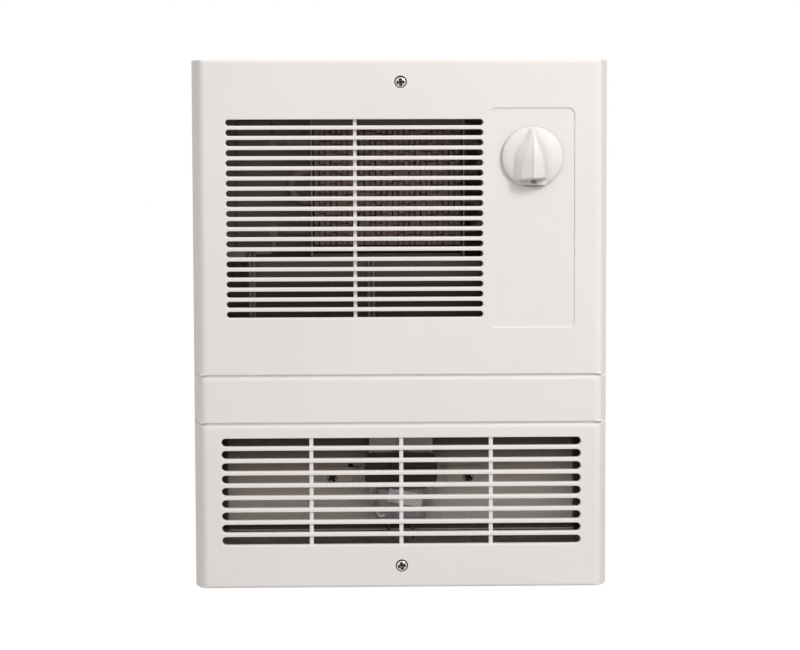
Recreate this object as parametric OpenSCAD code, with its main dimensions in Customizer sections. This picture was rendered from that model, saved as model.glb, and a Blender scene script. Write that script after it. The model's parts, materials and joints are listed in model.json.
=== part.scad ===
// Bathroom wall fan heater, set in a stud wall: a sheet-metal can in the wall,
// a one-piece louvred cover on it, and inside a small blower that draws room air
// in at the lower grille and sends it through a finned element and out at the top.
// Millimetres. The room is at -Y, the wall surface is the plane y = 0, up is +Z.

/* [Cover] */
// width over the back rim of the cover
cover_w = 311; // [290:1:340]
// height over the back rim of the cover
cover_h = 397.2; // [370:0.1:430]
// how far the cover stands out from the wall
cover_d = 22; // [18:1:32]
// wall thickness of the cover
cover_t = 2.6; // [2:0.1:4]
// how far each sloping flank leans in before its soft edge
flank_lean = 5; // [1:0.1:7]
// width of the soft edge between flank and face
edge_w = 6.2; // [4:0.1:8]
// height of the upper styling groove
groove_upper_z = -37.4; // [-45:0.1:-25]
// height of the lower styling groove
groove_lower_z = -73.3; // [-80:0.1:-65]
// width of each styling groove
groove_w = 1.7; // [1:0.1:3]
// depth of each styling groove in the face
groove_deep = 1.8; // [1:0.1:2.4]

/* [Upper grille] */
// number of upper slots
upper_slots = 20; // [12:1:24]
// height of the top slot
upper_z = 151.7; // [140:0.1:160]
// distance from slot to slot
upper_pitch = 7.5; // [6:0.1:10]
// height of one slot
upper_slot_h = 4.5; // [3:0.1:6]
// left end of the slots
upper_x0 = -129.4; // [-135:0.1:-100]
// right end of the slots
upper_x1 = 61.1; // [40:0.1:64]
// place of the upright rib behind the bars
upper_rib_x = -33.7; // [-60:0.1:0]

/* [Lower grille] */
// number of lower slots
lower_slots = 9; // [6:1:10]
// height of the top slot
lower_z = -86.9; // [-90:0.1:-84]
// distance from slot to slot
lower_pitch = 9.28; // [8:0.01:10]
// height of one slot
lower_slot_h = 5.9; // [4:0.1:7]
// half of the slot length
lower_x = 134.5; // [100:0.1:138]
// distance between the upright ribs
lower_rib_gap = 67.4; // [50:0.1:80]
// depth of the bars from the face
bar_deep = 4.6; // [3.5:0.1:6]

/* [Control panel and knob] */
// middle of the recessed panel and of the knob
panel_x = 97.7; // [90:0.1:105]
// width of the recessed panel
panel_w = 63.6; // [50:0.1:68]
// top of the recessed panel
panel_top = 162.3; // [150:0.1:170]
// bottom of the recessed panel
panel_bottom = -1.1; // [-20:0.1:20]
// depth of the panel below the face
panel_deep = 1.0; // [0.5:0.1:1.5]
// height of the knob
knob_z = 125.1; // [110:0.1:135]
// diameter of the knob
knob_d = 45.2; // [36:0.1:52]
// how far the grip stands out from the panel
knob_deep = 17.3; // [12:0.1:24]
// diameter of the knob shaft
knob_shaft_d = 6; // [5:0.1:6.5]

/* [Wall can] */
// width of the can
can_w = 284; // [270:1:300]
// height of the can
can_h = 378; // [360:1:384]
// depth of the can behind the wall surface
can_d = 86; // [80:1:92]
// thickness of the sheet metal
sheet = 1; // [0.8:0.1:1.5]
// diameter of the open cable knockout
knockout_d = 22.2; // [21:0.1:28]
// diameter of the stud screw holes
stud_hole_d = 5.2; // [4:0.1:7]
// distance between the two stud screw holes on a side
stud_hole_gap = 240; // [120:1:300]
// distance of the cover screws from the middle
cover_screw_z = 180.8; // [178:0.1:182]

/* [Blower] */
// height of the motor and blower axis
fan_z = -109; // [-112:0.1:-106]
// outside diameter of the blower wheel
wheel_d = 64; // [56:1:66]
// width of the blower wheel
wheel_w = 34; // [28:1:35]
// number of wheel blades
blades = 30; // [20:1:40]
// diameter of the motor shaft
shaft_d = 5; // [4:0.1:6]
// width of the motor core
core_w = 48; // [44:1:54]

/* [Heating element] */
// left end of the fin block
element_x0 = -64.6; // [-80:0.1:-40]
// right end of the fin block
element_x1 = 46.9; // [30:0.1:48]
// bottom of the fins
element_z0 = 58.2; // [54:0.1:70]
// top of the fins
element_z1 = 148.1; // [120:0.1:150]
// number of fins
fins = 27; // [15:1:36]
// diameter of the element tube
tube_d = 8; // [6:0.1:10]

/* [Hidden] */
$fn = 32;
eps = 0.01;

// ---- cover ----
rim_x = cover_w / 2;
rim_z = cover_h / 2;
face_y = -cover_d;
inner_y = face_y + cover_t;
bar_y = face_y + bar_deep;
end_lean = 1.0;
top_lean = 0.5;
end_r = 2.2;
step_r = 0.7;
groove_r = 2.8;
rib_back = 1.3;
gz1 = groove_upper_z;
gz2 = groove_lower_z;
gh = groove_w / 2;
floor_y = face_y + panel_deep;
flank_y = face_y + 5.2;
flank_end = flank_lean * cover_d / -flank_y;
head_r = 3.8;
washer_r = 4.7;
washer_t = 0.75;
cup_r = 5;
cup_deep = 2.1;
seat_y = face_y + cup_deep;
shank_r = 2.05;
lug_y = 1;

// ---- can ----
can_x = can_w / 2;
can_z = can_h / 2;
in_x = can_x - sheet;
in_z = can_z - sheet;
back_y = can_d - sheet;
knock_x = -105;
knock_y = 50;
stud_y = 32;

// ---- deck, a front wall for the blower ----
deck_y = 16;
deck_back = deck_y + sheet;
deck_x = 138;
deck_top = 47;
deck_bottom = -157;
notch_x = -112;
notch_z = 4;
lip_y = 12.5;
arm_x = 62;
arm_top = 166;
lead_holes = [[-37.8, -110.4], [65.6, -106]];
deck_screw_at = [[-128, -18], [-128, -72], [128, -18], [128, -72], [128, 152]];
deck_screw_r = 1.9;

// ---- blower ----
wheel_r = wheel_d / 2;
wheel_y = 20;
wheel_back = wheel_y + wheel_w;
tongue_a = 62;
scroll_r0 = wheel_r + 4;
scroll_r1 = 49.3;
scroll_back = 59;
tongue_x = scroll_r0 * cos(tongue_a) + 0.4;
tongue_z = fan_z + scroll_r0 * sin(tongue_a) + 0.6;
duct_z = deck_top + 3;
shaft_r = shaft_d / 2;
inlet_r = 23.6;

// ---- motor ----
core_x = core_w / 2;
core_y0 = -4;
core_y1 = 10;
core_top = -84;
yoke_z1 = -131;
yoke_z0 = -143;
bore_r = 13.5;
rotor_r = 13;
bearing_r = 4.5;
coil_x = 17;
coil_y0 = -8.5;
coil_y1 = 14.5;
coil_top = -124.4;
coil_bottom = -150;
mount_at = [[-52, -119], [52, -119]];
clamp_at = [[-20.4, -100], [20.4, -100]];

// ---- element ----
fin_t = 0.5;
fin_y0 = 18;
fin_y1 = 42;
tube_y = 30;
tube_r = tube_d / 2;
tube_z0 = 69.7;
tube_gap = 22.3;
deflector_z = 116;
brow_y = 16.5;
brow_z = 146;
plate_l = element_x0 - 2.4;
plate_r = element_x1 + 1.4;
duct_back = 60;

// ---- thermostat ----
stat_x0 = panel_x - 23;
stat_x1 = panel_x + 23;
stat_z0 = 100;
stat_z1 = 150;
stat_y0 = -4;
bush_r = 4.8;
bush_y = -12;
knob_y = floor_y - 0.6;
knob_seat_y = floor_y + 0.9;
notch_deep = 1.4;
kshaft_r = knob_shaft_d / 2;
tab_x = [84, 110];

// ---- wire routes: round numbers along the way each wire takes ----
lead_r = 1.3;
lead_y = 14.2;
route_line = [[-117, 20, 52], [-113.5, 20, 52], [-113.5, lead_y, 52], [-113.5, lead_y, -30],
  [110, lead_y, -30], [110, lead_y, 84]];
route_switched = [[84, lead_y, 84], [84, lead_y, -22], [-19.8, lead_y, -22],
  [-19.8, lead_y, 49.6], [-19.8, 24, 49.6], [-19.8, 24, 39]];
route_limit = [[-23.2, 24, 39], [-23.2, 24, 49.6], [-23.2, lead_y, 49.6], [-23.2, lead_y, -14],
  [-110.2, lead_y, -14], [-110.2, lead_y, 52], [-110.2, 30, 52], [-96, 30, 52], [-96, 30, 65.7]];
route_return = [[-96, 30, 140.6], [-96, 30, 152], [-124, 30, 152], [-124, 30, 57]];
route_motor_a = [[-9, 8, -150.5], [-9, 8, -162], [-9, 26, -162], [-72, 26, -162], [-72, 26, 30],
  [-119, 26, 30], [-119, 26, 47]];
route_motor_b = [[9, 8, -150.5], [9, 8, -166], [9, 32, -166], [-76, 32, -166], [-76, 32, 24],
  [-126, 28, 24], [-126, 28, 47]];

function arc(cx, cy, r, a0, a1, n) =
  [for (i = [0:n]) let (a = a0 + (a1 - a0) * i / n) [cx + r * cos(a), cy + r * sin(a)]];

// a rectangle with its own radius at each corner: bottom left, bottom right, top right, top left
function rounded(x0, z0, x1, z1, r, n) = concat(
  arc(x0 + r[0], z0 + r[0], r[0], 180, 270, n),
  arc(x1 - r[1], z0 + r[1], r[1], 270, 360, n),
  arc(x1 - r[2], z1 - r[2], r[2], 0, 90, n),
  arc(x0 + r[3], z1 - r[3], r[3], 90, 180, n));

function slot_outline(x0, x1, z, h) = concat(
  arc(x0 + h / 2, z, h / 2, 90, 270, 6),
  arc(x1 - h / 2, z, h / 2, -90, 90, 6));

module along_y(y0, y1) {
  translate([0, y1, 0])
    rotate([90, 0, 0])
      linear_extrude(y1 - y0)
        children();
}

module along_x(x0, x1) {
  translate([x0, 0, 0])
    rotate([90, 0, 90])
      linear_extrude(x1 - x0)
        children();
}

module along_z(z0, z1) {
  translate([0, 0, z0])
    linear_extrude(z1 - z0)
      children();
}

// a round bar along Y
module bar_y(x, z, r, y0, y1) {
  translate([x, y1, z])
    rotate([90, 0, 0])
      cylinder(r = r, h = y1 - y0);
}

// a round bar along X
module bar_x(y, z, r, x0, x1) {
  translate([x0, y, z])
    rotate([0, 90, 0])
      cylinder(r = r, h = x1 - x0);
}

// a cross-headed screw that points to +Y, its head in front of y
module pan_screw(x, z, y, hr, hh, sr, len) {
  difference() {
    union() {
      bar_y(x, z, hr, y - hh, y);
      bar_y(x, z, sr, y - eps, y + len);
    }
    translate([x - hr * 0.62, y - hh - 1, z - hr * 0.15])
      cube([hr * 1.24, 1 + hh * 0.6, hr * 0.3]);
    translate([x - hr * 0.15, y - hh - 1, z - hr * 0.62])
      cube([hr * 0.3, 1 + hh * 0.6, hr * 1.24]);
  }
}

// ---- wires ----
function unit(v) = v / norm(v);

// three rings round each corner of a route, one at each end
function bend(p, b) = concat([p[0]],
  [for (i = [1:len(p) - 2]) each let (u = unit(p[i - 1] - p[i]), w = unit(p[i + 1] - p[i]))
    [p[i] + b * u, p[i] + b * 0.29 * (u + w), p[i] + b * w]],
  [p[len(p) - 1]]);

function heading(q, i) =
  i == 0 ? unit(q[1] - q[0]) :
  i == len(q) - 1 ? unit(q[i] - q[i - 1]) :
  unit(unit(q[i] - q[i - 1]) + unit(q[i + 1] - q[i]));

// the ring's first direction is carried along the route without twist
function carry(q, i) = i == 0 ?
  let (t = heading(q, 0)) unit(cross(t, abs(t[1]) < 0.9 ? [0, 1, 0] : [1, 0, 0])) :
  let (t = heading(q, i), s = carry(q, i - 1)) unit(s - (s * t) * t);

module wire(route, r, b = 1.7) {
  q = bend(route, b);
  n = len(q);
  k = 8;
  pts = [for (i = [0:n - 1]) let (t = heading(q, i), u = carry(q, i), v = cross(t, u))
    for (j = [0:k - 1]) q[i] + r * (cos(j * 45) * u + sin(j * 45) * v)];
  sides = [for (i = [0:n - 2]) for (j = [0:k - 1])
    [i * k + j, (i + 1) * k + j, (i + 1) * k + (j + 1) % k, i * k + (j + 1) % k]];
  caps = [[for (j = [0:k - 1]) j], [for (j = [k - 1:-1:0]) (n - 1) * k + j]];
  polyhedron(points = pts, faces = concat(sides, caps), convexity = 6);
}

// ---- cover ----
// the soft edge from flank to face: distance in from the rim, and y
function soft_edge(t) = [
  (1 - t) * (1 - t) * flank_lean + 2 * t * (1 - t) * flank_end + t * t * (flank_lean + edge_w),
  (1 - t) * (1 - t) * flank_y + (1 - (1 - t) * (1 - t)) * face_y];

// plan of the cover, drawn in from its rim by s at the flanks and f at the face
function plan(s, f) = concat(
  [[-(rim_x - s), 0], [rim_x - s, 0]],
  [for (i = [0:6]) let (p = soft_edge(i / 6)) [rim_x - s - p[0], p[1] + f]],
  [for (i = [6:-1:0]) let (p = soft_edge(i / 6)) [p[0] + s - rim_x, p[1] + f]]);

// side view of one cover section between z0 and z1, with its two lip radii and leans
function side(z0, z1, r0, r1, l0, l1) = concat(
  [[0, z1], [0, z0]],
  arc(face_y + r0, z0 + l0 + r0, r0, 270, 180, 3),
  arc(face_y + r1, z1 - l1 - r1, r1, 180, 90, 3));

module cover_section(z0, z1, r0, r1, l0, l1, corners) {
  intersection() {
    along_z(z0, z1)
      polygon(plan(0, 0));
    along_x(-rim_x - 1, rim_x + 1)
      polygon(side(z0, z1, r0, r1, l0, l1));
    along_y(face_y - 1, 0)
      polygon(rounded(-rim_x, z0, rim_x, z1, corners, 3));
  }
}

module cover_solid() {
  cover_section(gz1 + gh, rim_z, step_r, end_r, 0, top_lean, [step_r, step_r, 1.2, 1.2]);
  cover_section(gz2 + gh, gz1 - gh, step_r, groove_r, 0, 0, [step_r, step_r, 1.8, 1.8]);
  cover_section(-rim_z, gz2 - gh, end_r, groove_r, end_lean, 0, [3, 3, 1.8, 1.8]);
  along_z(gz2 - 6, gz1 + 6)
    polygon(plan(1.1, groove_deep));
}

// the inside of the cover steps forward less behind each groove
module cover_hollow() {
  g = groove_deep;
  corner = 3.4;
  corner_x = rim_x - flank_lean - cover_t + 0.2;
  intersection() {
    along_z(-rim_z, rim_z)
      polygon([[-rim_x + cover_t, 1], [rim_x - cover_t, 1], [corner_x, inner_y + corner],
        [corner_x - corner + 0.4, inner_y], [corner - 0.4 - corner_x, inner_y],
        [-corner_x, inner_y + corner]]);
    along_x(-rim_x, rim_x)
      polygon([[1, rim_z - cover_t], [1, -rim_z + cover_t],
        [inner_y, -rim_z + cover_t + end_lean], [inner_y, gz2 - 5], [inner_y + g, gz2 - 4],
        [inner_y + g, gz2 + 4], [inner_y, gz2 + 5], [inner_y, gz1 - 5], [inner_y + g, gz1 - 4],
        [inner_y + g, gz1 + 4], [inner_y, gz1 + 5], [inner_y, rim_z - cover_t - end_lean]]);
  }
}

module upper_slot_cuts() {
  along_y(face_y - 1, bar_y + 1)
    for (i = [0:upper_slots - 1])
      polygon(slot_outline(upper_x0, upper_x1, upper_z - i * upper_pitch, upper_slot_h));
}

module lower_slot_cuts() {
  along_y(face_y - 1, bar_y + 1)
    for (i = [0:lower_slots - 1])
      polygon(slot_outline(-lower_x, lower_x, lower_z - i * lower_pitch, lower_slot_h));
}

module grille_rib(x, w, z0, z1) {
  translate([x - w / 2, face_y + rib_back, z0])
    cube([w, bar_deep - rib_back, z1 - z0]);
}

module front_cover() {
  upper_end = upper_z - (upper_slots - 1) * upper_pitch;
  lower_end = lower_z - (lower_slots - 1) * lower_pitch;
  color("white") {
    difference() {
      union() {
        difference() {
          cover_solid();
          cover_hollow();
        }
        translate([upper_x0 - 4, inner_y - 1, upper_end - 6])
          cube([upper_x1 - upper_x0 + 8, bar_y - inner_y + 1, upper_z - upper_end + 12]);
        translate([-lower_x - 4, inner_y - 1, lower_end - 6])
          cube([2 * lower_x + 8, bar_y - inner_y + 1, lower_z - lower_end + 12]);
        for (s = [-1, 1])
          bar_y(0, s * cover_screw_z, 5.5, inner_y - 1, lug_y - 0.3);
        for (x = [-1, 1])
          bar_y(panel_x + x * 18, 40, 3, inner_y - 1, -8);
      }
      upper_slot_cuts();
      lower_slot_cuts();
      along_y(face_y - 1, floor_y)
        polygon(rounded(panel_x - panel_w / 2, panel_bottom, panel_x + panel_w / 2, panel_top,
          [5, 5, 5, 5], 4));
      bar_y(panel_x, knob_z, knob_d / 2 - 0.5, face_y - 1, knob_seat_y);
      bar_y(panel_x, knob_z, 6.5, face_y - 1, 0);
      for (s = [-1, 1]) {
        bar_y(0, s * cover_screw_z, cup_r, face_y - 1, seat_y);
        bar_y(0, s * cover_screw_z, 2.5, face_y - 1, lug_y + 1);
      }
    }
    grille_rib(upper_rib_x, 2.1, upper_end - 5, upper_z + 5);
    for (i = [-1:1])
      grille_rib(i * lower_rib_gap, 3, lower_end - 5, lower_z + 5);
  }
}

module cover_screws() {
  color("silver")
    for (s = [-1, 1])
      pan_screw(0, s * cover_screw_z, seat_y - washer_t, head_r, 1.8, shank_r, 28);
}

module screw_washers() {
  color("dimgray")
    for (s = [-1, 1])
      difference() {
        bar_y(0, s * cover_screw_z, washer_r, seat_y - washer_t, seat_y);
        bar_y(0, s * cover_screw_z, shank_r + 0.2, seat_y - 1, seat_y + 1);
      }
}

// ---- can ----
module rough_in_can() {
  color("gainsboro")
    difference() {
      translate([-can_x, 0, -can_z])
        cube([can_w, can_d, can_h]);
      translate([-in_x, -1, -in_z])
        cube([2 * in_x, back_y + 1, 2 * in_z]);
      translate([knock_x, knock_y, -can_z - 1])
        cylinder(d = knockout_d, h = sheet + 2);
      for (s = [-1, 1]) {
        bar_x(stud_y, s * stud_hole_gap / 2, stud_hole_d / 2, -can_x - 1, -in_x + 1);
        bar_x(stud_y, s * stud_hole_gap / 2, stud_hole_d / 2, in_x - 1, can_x + 1);
      }
      bar_y(-120, -90, 2.05, back_y - 1, can_d + 1);
    }
}

// two bent tabs welded in the can that take the cover screws
module cover_lugs() {
  color("silver")
    for (s = [0, 1])
      mirror([0, 0, s])
        difference() {
          union() {
            translate([-10, lug_y, 172])
              cube([20, 1.5, in_z - 172]);
            translate([-10, lug_y, in_z - 1.5])
              cube([20, 14, 1.5]);
            bar_y(0, cover_screw_z, 3.6, lug_y + 1, lug_y + 4);
          }
          bar_y(0, cover_screw_z, 2.1, lug_y - 1, lug_y + 6);
        }
}

module ground_screw() {
  color("green")
    difference() {
      union() {
        translate([-120, back_y, -90])
          rotate([90, 0, 0])
            cylinder(r = 4.6, h = 3, $fn = 6);
        bar_y(-120, -90, 2, back_y - 1, can_d);
      }
      translate([-123, back_y - 4, -90.5])
        cube([6, 1.9, 1]);
    }
}

// ---- deck ----
module fan_deck() {
  color("lightgray")
    difference() {
      union() {
        along_y(deck_y, deck_back)
          polygon([[-deck_x, deck_bottom], [deck_x, deck_bottom], [deck_x, arm_top],
            [arm_x, arm_top], [arm_x, deck_top], [notch_x, deck_top], [notch_x, notch_z],
            [-deck_x, notch_z]]);
        translate([-deck_x, deck_y, deck_top - sheet])
          cube([deck_x - 69, 15, sheet]);
        translate([-deck_x, lip_y, deck_bottom])
          cube([2 * deck_x, deck_back - lip_y, sheet]);
        translate([arm_x, deck_y, deck_top - sheet])
          cube([sheet, 10, arm_top - deck_top + sheet]);
      }
      translate([-128, 24.4, deck_top - 2])
        cube([11, 8, 4]);
      bar_y(0, fan_z, 15, deck_y - 1, deck_back + 1);
      for (p = lead_holes)
        bar_y(p[0], p[1], 2.2, deck_y - 1, deck_back + 1);
      for (p = deck_screw_at)
        bar_y(p[0], p[1], 2.2, deck_y - 1, deck_back + 1);
      for (p = mount_at)
        bar_y(p[0], p[1], 2, deck_y - 1, deck_back + 1);
      for (s = [-1, 1])
        bar_y(panel_x + s * 29.5, knob_z, 1.8, deck_y - 1, deck_back + 1);
    }
}

// angle pieces welded to the can's side walls, which the deck is screwed to
module deck_brackets() {
  color("silver")
    difference() {
      union() {
        for (s = [0, 1])
          mirror([s, 0, 0]) {
            translate([118, deck_back, -84])
              cube([in_x - 118, 1.2, 78]);
            translate([in_x - 1.2, deck_back, -84])
              cube([1.2, 20, 78]);
          }
        translate([118, deck_back, 138])
          cube([in_x - 118, 1.2, 28]);
        translate([in_x - 1.2, deck_back, 138])
          cube([1.2, 20, 28]);
      }
      for (p = deck_screw_at)
        bar_y(p[0], p[1], deck_screw_r + 0.05, deck_y, deck_back + 3);
    }
}

module deck_screws() {
  color("silver")
    for (p = deck_screw_at)
      pan_screw(p[0], p[1], deck_y, 3.8, 2.3, deck_screw_r, 8);
}

// ---- scroll and duct ----
function scroll_r(a) = scroll_r0 + (scroll_r1 - scroll_r0) * (a - tongue_a) / (360 - tongue_a);

// the scroll's wall line, d outside its inner face, from the tongue round the wheel
// and up the duct's right side
function scroll_line(d) = concat(
  [for (i = [0:22]) let (a = tongue_a + (360 - tongue_a) * i / 22, r = scroll_r(a) + d)
    [r * cos(a), fan_z + r * sin(a)]],
  [[plate_r + d, -60], [plate_r + d, duct_z]]);

// the duct's left side, from its top down to the tongue
function duct_line(d) = [[plate_l + 1 - d, duct_z], [plate_l + 1 - d, 12],
  [tongue_x - d * 0.8, tongue_z - d * 0.6]];

module scroll_housing() {
  n = len(scroll_line(0));
  color("lightgray") {
    difference() {
      union() {
        along_y(deck_back, scroll_back + sheet / 2)
          polygon(concat(scroll_line(0), [for (i = [n - 1:-1:0]) scroll_line(1)[i]]));
        along_y(deck_back, scroll_back + sheet / 2)
          polygon(concat(duct_line(0), [for (i = [2:-1:0]) duct_line(1)[i]]));
        along_y(scroll_back, scroll_back + sheet)
          polygon(concat(duct_line(1), [for (i = [1:n - 1]) scroll_line(1)[i]]));
        bar_y(0, fan_z, inlet_r + 1, wheel_back + 1, scroll_back + sheet / 2);
      }
      bar_y(0, fan_z, inlet_r, wheel_back, scroll_back + 2);
    }
  }
}

// turns the air forward above the fins; its front edge folds down before them
module air_deflector() {
  r = duct_back - fin_y0;
  color("lightgray")
    along_x(plate_l + 1, plate_r)
      polygon(concat([[duct_back, duct_z]], arc(fin_y0, deflector_z, r, 0, 90, 8),
        [[brow_y, deflector_z + r], [brow_y, brow_z], [brow_y + sheet, brow_z],
        [brow_y + sheet, deflector_z + r - sheet]],
        arc(fin_y0, deflector_z, r - sheet, 90, 0, 8), [[duct_back - sheet, duct_z]]));
}

module element_end_plates() {
  color("lightgray")
    for (x = [plate_l, plate_r])
      difference() {
        along_x(x, x + sheet)
          polygon([[fin_y0 - 1, duct_z], [duct_back, duct_z], [duct_back, 134],
            [44, 158], [fin_y0 - 1, 158]]);
        for (i = [0:3])
          bar_x(tube_y, tube_z0 + i * tube_gap, tube_r + 0.3, x - 1, x + 2);
      }
}

// ---- element ----
module element_fins() {
  pitch = (element_x1 - element_x0 - fin_t) / (fins - 1);
  color("gray")
    for (i = [0:fins - 1])
      along_x(element_x0 + i * pitch, element_x0 + i * pitch + fin_t)
        difference() {
          translate([fin_y0, element_z0])
            square([fin_y1 - fin_y0, element_z1 - element_z0]);
          for (j = [0:3])
            translate([tube_y, tube_z0 + j * tube_gap])
              circle(r = tube_r + 0.03, $fn = 24);
        }
}

// a half ring in the XZ plane, round the Y axis through (x, z), open to the left
module return_bend(x, z, r, dir) {
  translate([x, tube_y, z])
    rotate([90, 0, 0])
      rotate([0, 0, dir > 0 ? -90 : 90])
        rotate_extrude(angle = 180)
          translate([r, 0])
            circle(r = tube_r);
}

module element_tube() {
  xr = plate_r + 5;
  xl = plate_l - 4;
  color("dimgray") {
    for (i = [0:3])
      bar_x(tube_y, tube_z0 + i * tube_gap, tube_r, i == 0 || i == 3 ? xl - 10 : xl, xr);
    return_bend(xr, tube_z0 + tube_gap / 2, tube_gap / 2, 1);
    return_bend(xr, tube_z0 + tube_gap * 2.5, tube_gap / 2, 1);
    return_bend(xl, tube_z0 + tube_gap * 1.5, tube_gap / 2, -1);
  }
}

module element_terminals() {
  xl = plate_l - 14;
  color("white")
    for (z = [tube_z0, tube_z0 + 3 * tube_gap]) {
      bar_x(tube_y, z, 3.2, xl - 5, xl);
      bar_x(tube_y, z, 1.5, xl - 14, xl - 5);
      translate([-99, tube_y - 3, z - 4])
        cube([6, 6, 8]);
    }
}

module limit_switch() {
  color("tan") {
    bar_y(-21.5, 30, 8.2, deck_back, deck_back + 9);
    bar_y(-21.5, 30, 4, deck_back + 9, deck_back + 11);
    for (x = [-23.2, -19.8])
      translate([x - 1.2, 23.6, 36])
        cube([2.4, 0.8, 3]);
  }
}

module terminal_block() {
  color("ivory")
    difference() {
      translate([-131, deck_y + 0.5, deck_top])
        cube([14, 14, 10]);
      for (x = [-127.5, -120.5])
        translate([x - 2.2, deck_y + 3, deck_top + 7])
          cube([4.4, 9, 4]);
    }
}

// ---- wiring ----
module heater_leads() {
  color("white") {
    wire(route_line, lead_r);
    wire(route_switched, lead_r);
    wire(route_limit, lead_r);
  }
}

module element_lead() {
  color("black")
    wire(route_return, lead_r);
}

module motor_leads() {
  color("black") {
    wire(route_motor_a, 1.1);
    wire(route_motor_b, 1.1);
  }
}

module spade_connectors() {
  color("red")
    for (x = tab_x)
      translate([x - 3.4, lead_y - 2, 84])
        cube([6.8, 3.4, 9]);
}

// ---- motor ----
module motor_stator() {
  color("slategray")
    difference() {
      along_y(core_y0, core_y1)
        polygon(rounded(-core_x, yoke_z0, core_x, core_top, [2, 2, 4, 4], 3));
      bar_y(0, fan_z, bore_r, core_y0 - 1, core_y1 + 1);
      translate([-coil_x - 2, core_y0 - 1, yoke_z1])
        cube([2 * coil_x + 4, core_y1 - core_y0 + 2, 7]);
      for (p = clamp_at)
        bar_y(p[0], p[1], 1.65, core_y0 - 1, core_y1 + 1);
    }
}

module motor_coil() {
  color("lavender")
    difference() {
      along_x(-coil_x, coil_x)
        polygon(rounded(coil_y0, coil_bottom, coil_y1, coil_top, [5, 5, 4, 4], 4));
      translate([-core_x, core_y0, yoke_z0])
        cube([core_w, core_y1 - core_y0, yoke_z1 - yoke_z0]);
    }
}

module coil_bobbin() {
  color("white")
    difference() {
      for (x = [-coil_x - 1.6, coil_x])
        along_x(x, x + 1.6)
          polygon(rounded(coil_y0 - 0.5, coil_bottom - 0.5, coil_y1 + 0.5, coil_top + 0.2,
            [2, 2, 2, 2], 2));
      translate([-core_x, core_y0, yoke_z0])
        cube([core_w, core_y1 - core_y0, yoke_z1 - yoke_z0]);
    }
}

module motor_front_bracket() {
  color("black")
    difference() {
      union() {
        along_y(core_y0 - 2.5, core_y0)
          polygon(rounded(-27.3, -121, 27.3, -97.5, [4, 4, 6, 6], 3));
        bar_y(0, fan_z, 8, -12.5, core_y0 - 1);
      }
      bar_y(0, fan_z, bearing_r + 0.02, -11.3, core_y0 + 1);
      for (p = clamp_at)
        bar_y(p[0], p[1], 1.65, core_y0 - 4, core_y0 + 1);
    }
}

module motor_mount() {
  color("silver")
    difference() {
      union() {
        along_y(core_y1, core_y1 + 1.5)
          polygon(rounded(-30, -121, 30, -95, [3, 3, 5, 5], 3));
        bar_y(0, fan_z, 8, core_y1 + 1, 15.6);
        for (s = [0, 1])
          mirror([s, 0, 0])
            along_z(-127, -111)
              polygon([[26, core_y1], [31, core_y1], [37, deck_y - 1.5], [61, deck_y - 1.5],
                [61, deck_y], [36, deck_y], [30, core_y1 + 1.5], [26, core_y1 + 1.5]]);
      }
      bar_y(0, fan_z, bearing_r + 0.02, core_y1 - 1, 17);
      for (p = clamp_at)
        bar_y(p[0], p[1], 1.65, core_y1 - 1, core_y1 + 3);
      for (p = mount_at)
        bar_y(p[0], p[1], 2.1, deck_y - 3, deck_y + 1);
    }
}

module motor_bearings() {
  color("darkgoldenrod")
    difference() {
      union() {
        bar_y(0, fan_z, bearing_r, -11, core_y0 - 0.5);
        bar_y(0, fan_z, bearing_r, core_y1 + 0.5, 15.4);
      }
      bar_y(0, fan_z, shaft_r + 0.04, -12, 17);
    }
}

module motor_screws() {
  color("silver")
    for (p = clamp_at) {
      pan_screw(p[0], p[1], core_y0 - 2.5, 3, 1.9, 1.6, 20);
      translate([p[0], 13.6, p[1]])
        rotate([90, 0, 0])
          difference() {
            cylinder(r = 3.1, h = 2.1, $fn = 6);
            translate([0, 0, -1])
              cylinder(r = 1.6, h = 4);
          }
    }
}

module mount_screws() {
  color("silver")
    for (p = mount_at)
      pan_screw(p[0], p[1], deck_y - 1.5, 3.9, 2.3, 1.9, 7);
}

module motor_shaft() {
  color("silver")
    bar_y(0, fan_z, shaft_r, -10.6, wheel_y + 17);
}

module motor_rotor() {
  color("dimgray")
    difference() {
      union() {
        bar_y(0, fan_z, rotor_r, core_y0 + 1, core_y1 - 1);
        bar_y(0, fan_z, 5, core_y0 + 0.2, core_y1 - 0.2);
      }
      bar_y(0, fan_z, shaft_r + 0.01, core_y0 - 1, core_y1 + 1);
    }
}

// one forward-curved blade, drawn round the wheel's middle
module blade() {
  c = arc(wheel_r - 2.2, -2.6, 4.2, 40, 148, 5);
  d = arc(wheel_r - 2.2, -2.6, 3.5, 148, 40, 5);
  polygon(concat(c, d));
}

module blower_wheel() {
  color("silver")
    translate([0, 0, fan_z]) {
      difference() {
        union() {
          bar_y(0, 0, wheel_r - 0.4, wheel_y, wheel_y + 1);
          bar_y(0, 0, 6.5, wheel_y, wheel_y + 16);
        }
        bar_y(0, 0, shaft_r + 0.01, wheel_y - 1, wheel_y + 18);
        translate([0, wheel_y + 9, 0])
          cylinder(r = 1.55, h = 9);
      }
      difference() {
        bar_y(0, 0, wheel_r, wheel_back - 1.2, wheel_back);
        bar_y(0, 0, wheel_r - 5.8, wheel_back - 2, wheel_back + 1);
      }
      along_y(wheel_y + 0.5, wheel_back - 0.6)
        for (i = [0:blades - 1])
          rotate([0, 0, i * 360 / blades])
            blade();
    }
}

module wheel_set_screw() {
  color("dimgray")
    translate([0, wheel_y + 9, fan_z + shaft_r + 0.05])
      difference() {
        cylinder(r = 1.5, h = 4.5);
        translate([0, 0, 3])
          cylinder(r = 0.8, h = 3, $fn = 6);
      }
}

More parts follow.
